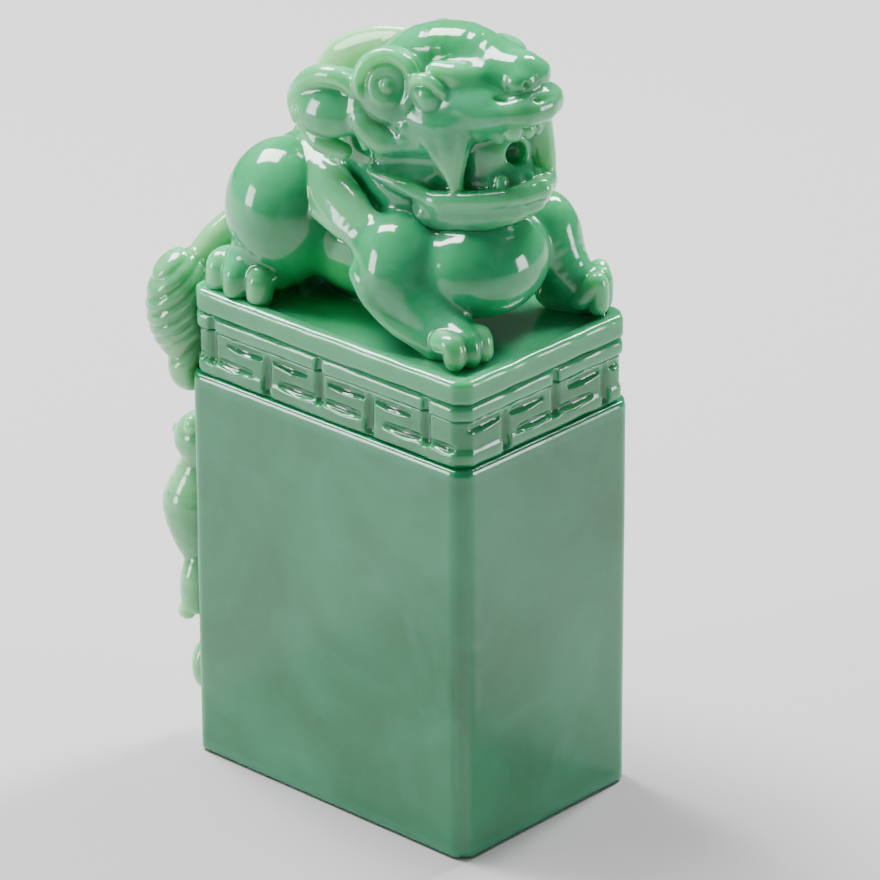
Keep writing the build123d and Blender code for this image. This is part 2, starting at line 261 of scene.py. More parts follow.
def spiral_groove(shape, centre, axes, pitch, width, depth, reach):
    """A shape with one spiral groove round a centre, in the plane of the first two axes."""
    axes = np.asarray(axes, np.float32)

    def distance(*place):
        x, y, z = in_axes(place, centre, axes)
        radius = np.sqrt(x * x + y * y)
        turn = np.arctan2(y, x) * (1 / (2 * math.pi))
        from_line = np.abs((radius / pitch - turn + 0.5) % 1 - 0.5) * pitch
        cut = np.clip(1 - from_line / width, 0, 1) ** 1.2 * np.clip((reach - radius) * 2, 0, 1)
        return shape(*place) + depth * cut

    return distance


# ---- from fields to meshes ----

def inner(span, wide):
    """A span counted from the start of a wider one."""
    return tuple(slice(a.start - b.start, a.stop - b.start) for a, b in zip(span, wide))


COARSE_STEP = 6         # grid steps between the places where a shape's reach is looked for


class Sculpture:
    """Named shapes joined softly into one stone, which keeps track of whose part is where."""

    MARGIN = 0.6        # mm worked out round a shape, past its fillet

    def __init__(self, low, high, voxel):
        self.voxel = voxel
        self.low = np.array(low, float)
        self.count = [int(math.ceil((b - a) / voxel)) + 1 for a, b in zip(low, high)]
        axes = [(low[i] + voxel * np.arange(self.count[i])).astype(np.float32) for i in range(3)]
        self.grid = [axes[0][:, None, None], axes[1][None, :, None], axes[2][None, None, :]]
        self.stone = np.full(self.count, FAR, np.float32)
        self.owners = {}

    def span(self, shape, margin):
        """The block of the grid that a shape can reach, found on a coarse copy of the grid."""
        step = COARSE_STEP
        coarse = shape(*(axis[::step, ::step, ::step] for axis in self.grid))
        step_diagonal = step * self.voxel * 1.8
        near = np.argwhere(coarse < step_diagonal + margin)
        if not len(near):
            raise ValueError("a shape lies outside the sculpting grid")
        low = np.maximum(near.min(0) * step - step, 0)
        high = np.minimum(near.max(0) * step + step + 1, self.count)
        return tuple(slice(int(a), int(b)) for a, b in zip(low, high))

    def local(self, span):
        """The coordinates of the grid's points in a span."""
        x, y, z = self.grid
        return x[span[0]], y[:, span[1]], z[:, :, span[2]]

    def add(self, name, shape, softness):
        """Joins a shape to the stone, as part of the piece with this name."""
        span = self.span(shape, softness + self.MARGIN)
        near = shape(*self.local(span)).astype(np.float32)
        self.stone[span] = blend(self.stone[span], near, softness)
        own_span, own = self.owners.get(name, (span, np.full(near.shape, FAR, np.float32)))
        wide = tuple(slice(min(a.start, b.start), max(a.stop, b.stop))
                     for a, b in zip(span, own_span))
        whole = np.full([s.stop - s.start for s in wide], FAR, np.float32)
        whole[inner(own_span, wide)] = own
        whole[inner(span, wide)] = blend(whole[inner(span, wide)], near, softness)
        self.owners[name] = (wide, whole)

    def cut(self, shape, softness):
        """Carves a shape out of the stone."""
        span = self.span(shape, softness + self.MARGIN)
        near = shape(*self.local(span)).astype(np.float32)
        self.stone[span] = carve_off(self.stone[span], near, softness)

    def sample(self, points):
        """The stone's distance at any points, in mm."""
        place = (points - self.low) / self.voxel
        last = np.array(self.count) - 1.001
        place = np.clip(place, 0, last)
        base = place.astype(int)
        part = place - base
        total = 0
        for corner in np.ndindex(2, 2, 2):
            weight = np.prod(np.where(corner, part, 1 - part), axis=1)
            total = total + weight * self.stone[tuple((base + corner).T)]
        return total

    def meshes(self):
        """A closed mesh for every name: the stone, split half way between neighbours."""
        nearest = np.full(self.count, FAR, np.float32)
        second = np.full(self.count, FAR, np.float32)
        for span, own in self.owners.values():
            second[span] = np.minimum(second[span], np.maximum(nearest[span], own))
            nearest[span] = np.minimum(nearest[span], own)
        for name, (span, own) in self.owners.items():
            rival = np.where(own <= nearest[span], second[span], nearest[span])
            share = np.maximum(self.stone[span], (own - rival) / 2 + SEAM)
            share = np.pad(share, 1, constant_values=1.0)
            start = np.array([s.start for s in span]) - 1
            verts, quads = surface_net(share)
            yield name, (verts + start) * self.voxel + self.low, quads


def surface_net(values):
    """The surface where values change sign, as one vertex per cell and one quad per edge."""
    solid = values < 0
    cells_shape = [n - 1 for n in values.shape]
    corners = list(np.ndindex(2, 2, 2))

    def at_corner(array, corner):
        return array[tuple(slice(c, c + n) for c, n in zip(corner, cells_shape))]

    filled = sum(at_corner(solid, corner).astype(np.int8) for corner in corners)
    crossed = (filled > 0) & (filled < 8)
    cells = np.argwhere(crossed)
    index = np.full(cells_shape, -1, np.int64)
    index[crossed] = np.arange(len(cells))
    total = np.zeros((len(cells), 3))
    hits = np.zeros(len(cells))
    for corner in corners:
        for axis in range(3):
            if corner[axis]:
                continue
            other = list(corner)
            other[axis] = 1
            a = values[tuple((cells + corner).T)]
            b = values[tuple((cells + other).T)]
            change = (a < 0) != (b < 0)
            point = np.tile(np.array(corner, float), (int(change.sum()), 1))
            point[:, axis] += a[change] / (a[change] - b[change])
            total[change] += point
            hits[change] += 1
    verts = cells + total / hits[:, None]
    quads = []
    for axis in range(3):
        first, second = [i for i in range(3) if i != axis]
        near = [slice(1, n - 1) for n in values.shape]
        near[axis] = slice(0, values.shape[axis] - 1)
        far = list(near)
        far[axis] = slice(1, values.shape[axis])
        edges = np.argwhere(solid[tuple(near)] != solid[tuple(far)])
        rising = solid[tuple(far)][tuple(edges.T)]
        base = edges.copy()
        base[:, first] += 1
        base[:, second] += 1
        around = []
        for back_first, back_second in ((1, 1), (0, 1), (0, 0), (1, 0)):
            cell = base.copy()
            cell[:, first] -= back_first
            cell[:, second] -= back_second
            around.append(index[tuple(cell.T)])
        quad = np.stack(around, axis=1)
        if axis == 1:
            rising = ~rising
        quad[rising] = quad[rising][:, ::-1]
        quads.append(quad)
    return verts, np.concatenate(quads)


def stone_object(name, verts_mm, faces, material):
    """A smooth-shaded object from points in mm and faces of four corners."""
    mesh = bpy.data.meshes.new(name)
    mesh.vertices.add(len(verts_mm))
    mesh.vertices.foreach_set("co", (np.asarray(verts_mm) * MM).ravel())
    mesh.loops.add(4 * len(faces))
    mesh.loops.foreach_set("vertex_index", np.asarray(faces).ravel().astype(np.int32))
    mesh.polygons.add(len(faces))
    mesh.polygons.foreach_set("loop_start", 4 * np.arange(len(faces), dtype=np.int32))
    mesh.update(calc_edges=True)
    mesh.polygons.foreach_set("use_smooth", np.ones(len(faces), bool))
    mesh.materials.append(material)
    piece = bpy.data.objects.new(name, mesh)
    bpy.context.scene.collection.objects.link(piece)
    return piece


# ---- the lion ----

def head_ball(place, radii):
    """A rounded form of the head, in the head's own axes."""
    return ellipsoid(head(*place), radii, HEAD_AXES)


def sculpt_hindquarters(stone, side):
    haunch = ellipsoid(body(*mirrored((-4.9, 8.9, 7.4), side)), (4.8, 5.2, 5.8))
    stone.add("body", haunch, 1.2)
    hock = tube(body_path([(-5.2, 9.6, 3.4), (-6.9, 10.6, 2.4), (-7.9, 10.8, 1.5)], side),
                [3.3, 2.5, 1.7])
    stone.add("body", hock, 0.9)
    for y, reach in ((8.4, 0.1), (10.8, 0.35), (13.1, 0.0)):
        toe = [(-6.5, y, 2.0), (-8.2 - reach, y, 2.25), (-8.55 - reach, y, 0.9)]
        stone.add("body", tube(body_path(toe, side), [1.3, 1.22, 1.12]), 0.35)


def sculpt_trunk(stone):
    belly = body_path([(0, 9.5, 5.6), (-0.3, 5.0, 5.0), (-0.4, 0.5, 5.2), (0, -4.5, 5.8)])
    stone.add("body", tube(belly, [4.6, 5.1, 5.0, 4.4]), 1.0)
    rump = ellipsoid(body(0, 11.2, 6.6), (4.6, 3.8, 5.4))
    stone.add("body", rump, 1.0)
    ridge = body_path([(0, 2.5, 13.6), (-0.2, 6.0, 13.0), (-0.4, 9.5, 12.0), (-0.6, 12.6, 9.4),
                       (-0.8, 14.0, 6.2)])
    stone.add("body", tube(ridge, [1.5, 1.4, 1.3, 1.25, 1.1]), 0.7)
    for y, z in ((4.6, 14.3), (6.9, 13.9), (9.1, 13.2), (11.0, 12.0), (12.7, 10.2)):
        knob = ellipsoid(body(-0.3, y, z), (1.15, 1.0, 0.95))
        stone.add("body", knob, 0.3)
    chest = ellipsoid(body(-0.2, -8.5, 6.0), (5.9, 4.8, 4.4))
    stone.add("body", chest, 1.5)
    neck = tube(body_path([(0, -3.0, 8.0), (-0.2, -1.4, 11.6)]), [4.6, 4.6])
    stone.add("body", neck, 1.0)
    nape = tube([body(0, 3.6, 11.2), head(0, 5.4, -4.2)], [4.1, 3.6])
    stone.add("body", nape, 1.0)


def sculpt_shoulder_lock(stone, side):
    """A broad flat strap of mane over the shoulder, with a ridge along its lower edge."""
    out = mirrored((-0.86, -0.1, 0.5), side)
    run = body_path([(-4.4, 7.4, 11.5), (-5.4, 3.8, 10.7), (-6.2, 0.8, 9.5), (-6.6, -1.8, 8.3)], side)
    stone.add("body", strap(run, [2.0, 2.2, 2.1, 1.6], 0.5, out), 0.12)
    edge = body_path([(-4.6, 8.6, 10.4), (-5.9, 6.3, 9.5), (-6.7, 3.6, 8.7), (-7.1, 0.6, 8.0)], side)
    stone.add("body", tube(edge, [0.42, 0.48, 0.5, 0.5]), 0.25)


def sculpt_right_foreleg(stone):
    leg = joined([
        ellipsoid(body(-5.3, -4.0, 5.9), (3.5, 3.9, 4.4)),
        tube(body_path([(-5.4, -4.6, 5.0), (-5.4, -6.8, 3.4), (-5.5, -8.8, 2.2)]), [3.3, 2.8, 2.1]),
    ], 1.2)
    stone.add("body", leg, 0.9)
    outer_fold = body_path([(-8.3, -2.0, 5.6), (-8.5, -3.8, 3.8), (-8.1, -6.2, 2.0), (-7.4, -9.4, 0.9)])
    stone.add("body", tube(outer_fold, [0.4, 0.5, 0.55, 0.5]), 1.1)
    paw = body_path([(-5.6, -8.6, 1.6), (-5.9, -10.8, 1.6), (-6.0, -11.6, 1.5)])
    stone.add("body", tube(paw, [1.9, 1.8, 1.6]), 0.8)
    for x, y in ((-4.85, -12.6), (-6.3, -12.6), (-7.7, -12.2)):
        toe = body_path([(x + 0.15, y + 1.6, 1.9), (x, y + 0.3, 2.0), (x - 0.05, y - 0.05, 0.9)])
        stone.add("body", tube(toe, [0.95, 0.95, 0.88]), 0.25)


def sculpt_left_foreleg(stone):
    leg = joined([
        ellipsoid(body(7.0, -8.4, 6.4), (2.9, 3.1, 3.5)),
        tube(body_path([(7.0, -9.0, 5.6), (7.4, -10.8, 3.2), (8.0, -12.0, 2.4)]), [2.7, 2.1, 1.7]),
    ], 0.9)
    stone.add("body", leg, 0.7)
    paw = body_path([(6.4, -9.6, 1.6), (7.8, -11.6, 1.6), (8.6, -12.4, 1.5)])
    stone.add("body", tube(paw, [1.2, 1.6, 1.5]), 0.9)
    for x, y in ((7.7, -13.6), (8.9, -13.0), (9.8, -12.0)):
        toe = body_path([(x - 0.8, y + 1.0, 1.6), (x, y, 3.1), (x + 0.1, y - 0.1, 1.1)])
        stone.add("body", tube(toe, [0.95, 0.9, 0.85]), 0.25)


def sculpt_cranium(stone):
    stone.add("head", head_ball((0, 0.4, 0.0), (4.7, 5.0, 4.9)), 0.8)
    throat = tube(head_path([(0, 1.0, -2.0), (0, 1.6, -5.6)]), [4.6, 4.4])
    stone.add("head", throat, 0.9)
    crest = head_path([(0.5, -5.6, 4.3), (0.4, -2.2, 4.85), (0.3, 1.8, 3.6), (0.2, 6.0, 0.2)])
    stone.add("head", tube(crest, [1.8, 2.35, 2.6, 2.4]), 0.5)
    far_lobe = head_ball((2.1, -4.4, 5.0), (1.4, 2.2, 1.2))
    stone.add("head", far_lobe, 0.25)
    for side in (RIGHT, LEFT):
        sculpt_face_side(stone, side)
        sculpt_temple(stone, side)
        sculpt_ear(stone, side)
    fin = head_path([(0.9, 3.8, 3.9), (0.9, 7.0, 3.0), (0.7, 10.2, 1.4), (0.5, 12.4, -1.0)])
    stone.add("fin", strap(fin, [1.5, 1.8, 1.8, 1.1], 0.36, HEAD_AXES[0]), 0.3)


def sculpt_face_side(stone, side):
    """One side of the upper face: muzzle and cheek in one swell, the eye set under a brow."""
    muzzle = head_ball((side * 1.9, -4.0, 1.5), (2.5, 4.9, 2.6))
    stone.add("head", muzzle, 0.8)
    cheek = head_ball((side * 3.0, -2.2, -0.4), (1.9, 3.0, 2.1))
    stone.add("head", cheek, 1.0)
    brow = head_path([(2.0, -5.2, 4.1), (2.9, -3.4, 4.2), (3.3, -1.9, 4.3)], side)
    stone.add("head", tube(brow, [0.9, 1.0, 0.8]), 0.9)
    eye = head_ball((side * 3.55, -1.5, 2.3), (1.35, 1.5, 1.45))
    stone.add("head", eye, 0.2)
    lid = head_path([(3.3, -3.5, 1.9), (4.2, -2.9, 3.2), (4.4, -1.6, 3.9), (4.3, -0.4, 3.4),
                     (4.0, 0.1, 2.2)], side)
    stone.add("head", tube(lid, [0.25, 0.4, 0.45, 0.42, 0.3]), 0.25)
    for y, z in ((0.4, -0.6), (0.6, -1.6)):
        stone.add("head", head_ball((side * 4.3, y, z), (0.7, 0.75, 0.6)), 0.25)


RING_TAPER = (0.5, 0.85, 1, 1, 1, 1, 0.95, 0.8, 0.5)


def sculpt_temple(stone, side):
    """The swirl of mane behind the eye: a ring round a smaller spiral, and locks below it."""
    centre = head(side * 3.8, 2.2, 2.4)
    out = side * 0.93 * HEAD_AXES[0] - 0.22 * HEAD_AXES[1] + 0.28 * HEAD_AXES[2]
    axes = facing(out, HEAD_AXES[1])
    stone.add("head", ellipsoid(centre, (2.9, 3.1, 1.1), axes), 0.4)
    for turn_radius, wire, start, stop in ((2.55, 0.62, -30, 215), (1.25, 0.5, -120, 170)):
        ring = []
        for angle in np.radians(np.linspace(start, stop, len(RING_TAPER))):
            shrink = 1 - 0.12 * (angle / math.pi)
            flat = math.cos(angle) * axes[0] * -side + math.sin(angle) * axes[1] * side
            ring.append(centre + turn_radius * shrink * flat + 0.75 * axes[2])
        stone.add("head", tube(ring, [wire * taper for taper in RING_TAPER], 3), 0.28)
    stone.add("head", ellipsoid(centre + 0.9 * axes[2], (0.55, 0.6, 0.5), axes), 0.2)
    mane = head_path([(4.2, 5.0, 1.4), (4.5, 4.4, -0.8), (4.3, 2.6, -2.2), (4.0, 0.8, -2.0)], side)
    stone.add("head", tube(mane, [0.8, 1.3, 1.3, 0.7]), 0.3)
    locks = ((4.8, -1.6, 4.4, -3.3), (3.6, -2.2, 3.0, -3.8), (2.5, -2.3, 1.8, -3.7),
             (1.5, -2.1, 0.7, -3.1))
    for y, z, tip_y, tip_z in locks:
        lock = bar(head(side * 4.4, y, z), head(side * 4.4, tip_y, tip_z), 0.72, 0.3)
        stone.add("head", lock, 0.2)
    for y, z, size in ((5.3, 1.8, 0.8), (5.7, 0.5, 0.75), (5.6, -0.8, 0.7)):
        stone.add("head", head_ball((side * 4.5, y, z), (size, size * 0.8, size)), 0.2)


def sculpt_ear(stone, side):
    """A leaf ear laid back along the neck, with a rolled edge and combed hair at its end."""
    centre = head(side * 4.2, 7.4, -0.2)
    out = side * 0.86 * HEAD_AXES[0] - 0.05 * HEAD_AXES[1] + 0.45 * HEAD_AXES[2]
    axes = facing(out, HEAD_AXES[1] - 0.3 * HEAD_AXES[2])
    stone.add("head", ellipsoid(centre, (3.7, 2.9, 1.6), axes), 0.4)
    rolled = head_path([(4.7, 4.9, 1.7), (4.9, 7.0, 2.4), (4.7, 9.4, 1.7), (4.4, 11.2, -0.4),
                        (4.4, 11.0, -2.2)], side)
    stone.add("head", tube(rolled, [0.5, 0.8, 0.85, 0.8, 0.6]), 0.6)
    lower = head_path([(4.7, 10.2, -2.6), (4.9, 8.4, -3.5), (4.6, 6.4, -4.0)], side)
    stone.add("head", tube(lower, [0.6, 0.95, 0.7]), 0.25)
    comb = head(side * 5.0, 9.3, -1.2)
    hair = ellipsoid(comb, (1.9, 0.9, 1.0), facing(out, HEAD_AXES[1] - 0.1 * HEAD_AXES[2]))
    stone.add("head", ripple(hair, HEAD_AXES[1], 0.48, 0.28, (comb, 2.8)), 0.12)


def sculpt_muzzle(stone):
    snout = tube(head_path([(0, -1.7, 2.9), (0, -5.0, 3.7), (0, -7.5, 4.0)]), [2.5, 2.4, 2.2])
    stone.add("head", snout, 0.7)
    for side in (RIGHT, LEFT):
        stone.add("head", head_ball((side * 1.1, -8.4, 4.2), (1.25, 1.15, 1.15)), 0.35)
        nostril = head_ball((side * 1.6, -9.3, 4.2), (0.25, 0.3, 0.22))
        stone.cut(nostril, 0.3)
    for side in (RIGHT, LEFT):
        lip = head_path([(0, -9.4, 2.1), (1.5, -9.1, 2.0), (2.6, -7.6, 1.7), (3.3, -5.4, 1.0),
                         (3.9, -3.4, 0.2)], side)
        stone.add("head", tube(lip, [1.45, 1.4, 1.15, 0.95, 0.8]), 0.35)
        for i, y in enumerate((-8.3, -7.0, -5.8, -4.6)):
            x = side * (2.0 + 0.4 * i)
            stone.add("head", head_ball((x, y, 0.2 - 0.15 * i), (0.8, 0.75, 0.85)), 0.3)
    crease = head_path([(-2.9, -7.2, 2.9), (-2.2, -8.7, 2.75), (-0.9, -10.4, 3.0), (0.8, -10.7, 3.15)])
    stone.cut(tube(crease, [0.1, 0.16, 0.16, 0.1]), 0.35)


def sculpt_jaw(stone):
    tongue = tube(head_path([(0, 0.5, -5.4), (0, -3.5, -5.2), (0, -6.6, -4.9)]), [2.8, 2.8, 2.4])
    stone.add("head", tongue, 0.6)
    mouth_core = head_ball((0.2, -4.6, -2.3), (2.9, 3.6, 3.2))
    stone.add("head", mouth_core, 0.6)
    for side in (RIGHT, LEFT):
        lip = head_path([(0, -9.6, -5.0), (2.1, -8.7, -5.2), (3.3, -6.0, -5.8), (4.0, -2.6, -6.4)], side)
        stone.add("head", tube(lip, [0.85, 0.85, 0.85, 0.8]), 0.3)
        corner = head_path([(4.0, -2.6, -6.6), (4.3, -0.6, -6.0), (4.5, 1.2, -5.5), (4.4, 3.8, -5.2)], side)
        stone.add("head", tube(corner, [0.7, 0.6, 0.55, 0.4]), 0.5)
        chin = head_path([(0, -8.7, -6.2), (1.9, -7.8, -6.6), (2.9, -4.6, -7.4), (3.2, -1.4, -7.8)], side)
        stone.add("head", tube(chin, [1.0, 1.15, 1.4, 1.6]), 0.6)
    jaw_floor = head_ball((0, -4.2, -6.9), (3.3, 4.6, 1.9))
    stone.add("head", jaw_floor, 0.8)


def carve_mouth(stone):
    """The mouth's hollows behind the near fangs, and the drilled recess between the front ones."""
    for side in (RIGHT, LEFT):
        hollow = head_path([(4.6, -5.0, -3.2), (4.4, -2.4, -3.6), (4.7, 0.8, -4.0), (5.0, 3.2, -4.5)], side)
        stone.cut(tube(hollow, [1.2, 1.15, 1.1, 0.6]), 0.4)
    recess = bar(head(-1.6, -9.4, -1.9), head(-0.4, -7.3, -2.3), 1.05, 0.95)
    stone.cut(recess, 0.25)


def sculpt_teeth(stone):
    for side in (RIGHT, LEFT):
        tip = head(side * 3.5, -3.9, -5.0)
        fang = joined([
            bar(head(side * 3.5, -4.5, -0.4), tip, 0.85, 0.4),
            bar(head(side * 3.8, -3.2, -0.8), tip, 1.0, 0.4),
            bar(head(side * 4.0, -1.9, -1.3), tip, 0.9, 0.4),
        ], 0.5)
        stone.add("head", fang, 0.3)
    far_fang = tube(head_path([(2.1, -7.6, 0.6), (2.3, -8.2, -2.4), (2.1, -8.6, -5.0)]), [1.2, 1.0, 0.9])
    stone.add("head", far_fang, 0.3)
    for i in range(4):
        across = (i - 2.2) * 1.05
        back = 0.16 * (i - 2.8) ** 2
        stone.add("head", head_ball((across, -8.6 + back, -0.2), (0.6, 0.55, 0.8)), 0.2)
        stone.add("head", head_ball((across, -8.7 + back, -4.4), (0.5, 0.5, 0.75)), 0.2)


# ---- the tail and the relief on the rear face ----

def sculpt_tail(stone):
    tail = body_path([(-0.8, 13.6, 6.4), (-2.2, 15.2, 4.6), (-4.6, 16.8, 2.4), (-6.6, 17.6, 0.4)])
    stone.add("tail", tube(tail, [1.4, 1.45, 1.5, 1.3]), 0.5)
    centre = rear(-8.1, 2.5, 39.4)
    tuft = joined([
        ellipsoid(centre, (3.0, 3.0, 4.9)),
        ellipsoid(rear(-8.5, 1.1, 34.4), (2.0, 1.9, 2.2)),
    ], 0.8)
    hair = ripple(tuft, (-0.5, 0.35, 0.8), 1.0, 0.3, (centre, 5.5))
    stone.add("tail", hair, 0.4)


def sculpt_cub(stone):
    """The cub that climbs the rear face, seen from the side of the block."""
    stone.add("cub", ellipsoid(rear(-6.4, 1.6, 26.9), (2.6, 2.9, 2.5)), 0.5)
    for x in (-8.0, -4.8):
        ear = ellipsoid(rear(x, 1.4, 28.7), (0.9, 0.8, 0.9))
        eye = ellipsoid(rear(x * 0.6 - 2.6, 4.1, 27.4), (0.45, 0.4, 0.45))
        stone.add("cub", ear, 0.3)
        stone.add("cub", eye, 0.15)
    snout = ellipsoid(rear(-6.2, 3.8, 26.0), (1.2, 1.0, 0.9))
    stone.add("cub", snout, 0.3)
    back = rear_path([(-6.2, 1.6, 24.2), (-6.9, 2.3, 21.0), (-6.4, 2.2, 17.8)])
    stone.add("cub", tube(back, [2.3, 3.0, 2.5]), 0.6)
    for i in range(5):
        knob = ellipsoid(rear(-6.3 - 0.25 * i, 4.6 - 0.1 * i, 23.6 - 1.5 * i), (0.6, 0.55, 0.6))
        stone.add("cub", knob, 0.25)
    foreleg = rear_path([(-5.0, 1.2, 23.6), (-2.4, 1.2, 24.8), (0.6, 1.0, 28.0)])
    stone.add("cub", tube(foreleg, [1.6, 1.4, 1.25]), 0.4)
    for i in range(3):
        toe = ellipsoid(rear(-0.2 + 0.95 * i, 1.4, 28.9 - 0.3 * i), (0.6, 0.8, 0.75))
        stone.add("cub", toe, 0.2)
    hind_leg = rear_path([(-6.4, 1.4, 16.6), (-7.8, 1.3, 14.6), (-8.2, 1.3, 12.8)])
    stone.add("cub", tube(hind_leg, [1.9, 1.7, 1.4]), 0.4)
    for i in range(3):
        toe = ellipsoid(rear(-8.9 + 1.1 * i, 1.9, 11.7), (0.65, 0.85, 0.8))
        stone.add("cub", toe, 0.2)
    tail = rear_path([(-4.2, 1.2, 15.4), (-3.4, 1.2, 11.8), (-4.4, 1.2, 8.4), (-6.4, 1.4, 6.4)])
    stone.add("cub", tube(tail, [1.1, 1.3, 1.4, 1.5]), 0.35)
    tip = rear(-6.6, 1.2, 6.2)
    flat_on_face = np.array([[1.0, 0, 0], [0, 0, 1.0], [0, -1.0, 0]])
    curl = spiral_groove(ellipsoid(tip, (2.1, 1.6, 2.6)), tip, flat_on_face, 1.1, 0.3, 0.3, 2.2)
    stone.add("cub", curl, 0.25)


# ---- the block and its border ----

BLOCK_CORNER = 1.05         # how much is cut off the block's upright corners, in mm
BORDER_CORNER = 1.1
WELL_CORNER = 0.5           # the same for the platform, and for the well in the rim round it
UNDER_RIM = 0.06            # the border stays this far inside the CAD rim's outline
FRET_FACE = 0.28            # the frets are cut into a face this far inside that outline
ROOM = 0.4                  # empty grid round a slab


def wobble(x, y, z, pitch):
    """A gentle unevenness between -1 and 1, as a hand-ground surface has."""
    turn = 2 * math.pi / pitch
    return (np.sin(turn * (x + 0.31 * y) + 1.7) + np.sin(turn * (0.83 * y - 0.4 * z) + 0.4)
            + np.sin(turn * (0.71 * z + 0.5 * x - 0.2 * y))) / 3


def slab(half_width, half_length, bottom, top, rounding, corner, unevenness=0.0):
    """A rectangular slab with its upright corners cut and all its edges rounded."""
    def distance(x, y, z):
        across = np.abs(x) - half_width
        along = np.abs(y) - half_length
        side = -blend(-np.maximum(across, along), -(across + along + corner) / math.sqrt(2), 0.18)
        level = np.abs(z - (bottom + top) / 2) - (top - bottom) / 2
        if unevenness:
            side = side + unevenness * (wobble(x, y, z, 6.3) + 0.6 * wobble(x, y, z, 2.9))
            level = level + unevenness * wobble(x, y, z * 0, 4.1)
        a, b = side + rounding, level + rounding
        outside = np.sqrt(np.maximum(a, 0) ** 2 + np.maximum(b, 0) ** 2)
        return outside + np.minimum(np.maximum(a, b), 0) - rounding

    return distance


def without(shape, hole):
    """A shape with a hole, both with sharp edges."""
    def distance(*place):
        return np.maximum(shape(*place), -hole(*place))

    return distance


def block_space():
    """All the room that the block and its border take up, below and round the platform."""
    low, high = box_mm("rim")
    well_high = box_mm("platform")[1]
    core = slab(HALF_WIDTH, HALF_LENGTH, -5, BLOCK_TOP, 0.01, 0)
    border = slab(high[0], high[1], BLOCK_TOP - 1, low[2], 0.01, 0)
    ring = without(slab(high[0], high[1], low[2] - 1, high[2], 0.01, 0),
                   slab(well_high[0], well_high[1], low[2], high[2] + 5, 0.01, 0))

    def distance(*place):
        return np.minimum(np.minimum(core(*place), border(*place)), ring(*place))

    return distance


def sculpt_block():
    stone = Sculpture((-HALF_WIDTH - ROOM, -HALF_LENGTH - ROOM, -ROOM),
                      (HALF_WIDTH + ROOM, HALF_LENGTH + ROOM, BLOCK_TOP + 0.6), 2 * VOXEL)
    shape = slab(HALF_WIDTH - 0.02, HALF_LENGTH - 0.02, 0.0, BLOCK_TOP, 0.4, BLOCK_CORNER)

    def ground(x, y, z):
        return shape(x, y, z) + 0.018 + 0.018 * wobble(x, y, z, 9.5)

    stone.add("block", ground, 0.3)
    return stone


def on_face(axis, way, face):
    """A rule that takes (along, z, out) on one upright face of the border to a point."""
    def place(along, z, out):
        point = [along, along, z]
        point[axis] = way * (face + out)
        return point

    return place


def cut_fret(stone, place, half_face, from_top, from_bottom):
    """Interlocking T grooves on one face: stems at the given places, with an arm to each side."""
    upper_arm = box_mm("fret_row_upper")[1][2] - 0.3
    lower_arm = box_mm("fret_row_lower")[1][2] - 0.2
    top = box_mm("upper_bead")[1][2] - 0.6
    bottom = BLOCK_TOP + 0.6
    nearest, furthest, shortest = 0.8, 4.3, 0.6
    rows = ((from_top, lower_arm, top, lower_arm), (from_bottom, upper_arm, upper_arm, bottom))
    for stems, arm, start, end in rows:
        for along in stems:
            stone.cut(bar(place(along, start, 0.05), place(along + 0.1, end, 0.0), 0.4, 0.52), 0.15)
            for way in (-1, 1):
                near = along + nearest * way
                far = np.clip(along + furthest * way, -half_face, half_face)
                if (far - near) * way < shortest:
                    continue
                leaf = [place(near, arm + 0.05, 0.06), place((near + far) / 2, arm - 0.03, 0.03),
                        place(far, arm + 0.03, 0.1)]
                stone.cut(tube(leaf, [0.32, 0.42, 0.3]), 0.12)


def sculpt_border():
    low, high = box_mm("rim")
    half_x, half_y = high[0], high[1]
    stone = Sculpture((low[0] - ROOM, low[1] - ROOM, BLOCK_TOP - 0.3),
                      (half_x + ROOM, half_y + ROOM, high[2] + ROOM), BORDER_VOXEL)
    fret_low = box_mm("fret_row_lower")[0][2]
    fret_high = box_mm("fret_row_upper")[1][2]
    bead_high = box_mm("upper_bead")[1][2]
    rows = (
        ("frets", fret_low, fret_high + 0.5, 0.35, 0.22),
        ("frets", fret_low + 0.1, fret_low + 1.6, 0.6, 0.1),
        ("bead", fret_high + 0.35, bead_high, 0.5, 0.02),
        ("rim", bead_high, high[2] - 0.02, 0.5, 0.0),
    )
    for name, bottom, top, rounding, inset in rows:
        shape = slab(half_x - inset - UNDER_RIM, half_y - inset - UNDER_RIM, bottom, top, rounding,
                     BORDER_CORNER, 0.045)
        stone.add(name, shape, 0.3)
    face_x, face_y = half_x - FRET_FACE, half_y - FRET_FACE
    cut_fret(stone, on_face(0, -1, face_x), half_y - 1.0, (12.6, 0.5, -11.2), (6.4, -5.0))
    cut_fret(stone, on_face(0, 1, face_x), half_y - 1.0, (11.2, -0.5, -12.6), (5.0, -6.4))
    cut_fret(stone, on_face(1, -1, face_y), half_x - 1.0, (1.04,), (-4.9, 7.1))
    cut_fret(stone, on_face(1, 1, face_y), half_x - 1.0, (-1.04,), (4.9, -7.1))
    well_high = box_mm("platform")[1]
    well = slab(well_high[0], well_high[1], low[2] - 1, high[2] + 1, 0.25, WELL_CORNER)
    stone.cut(well, 0.25)
    return stone


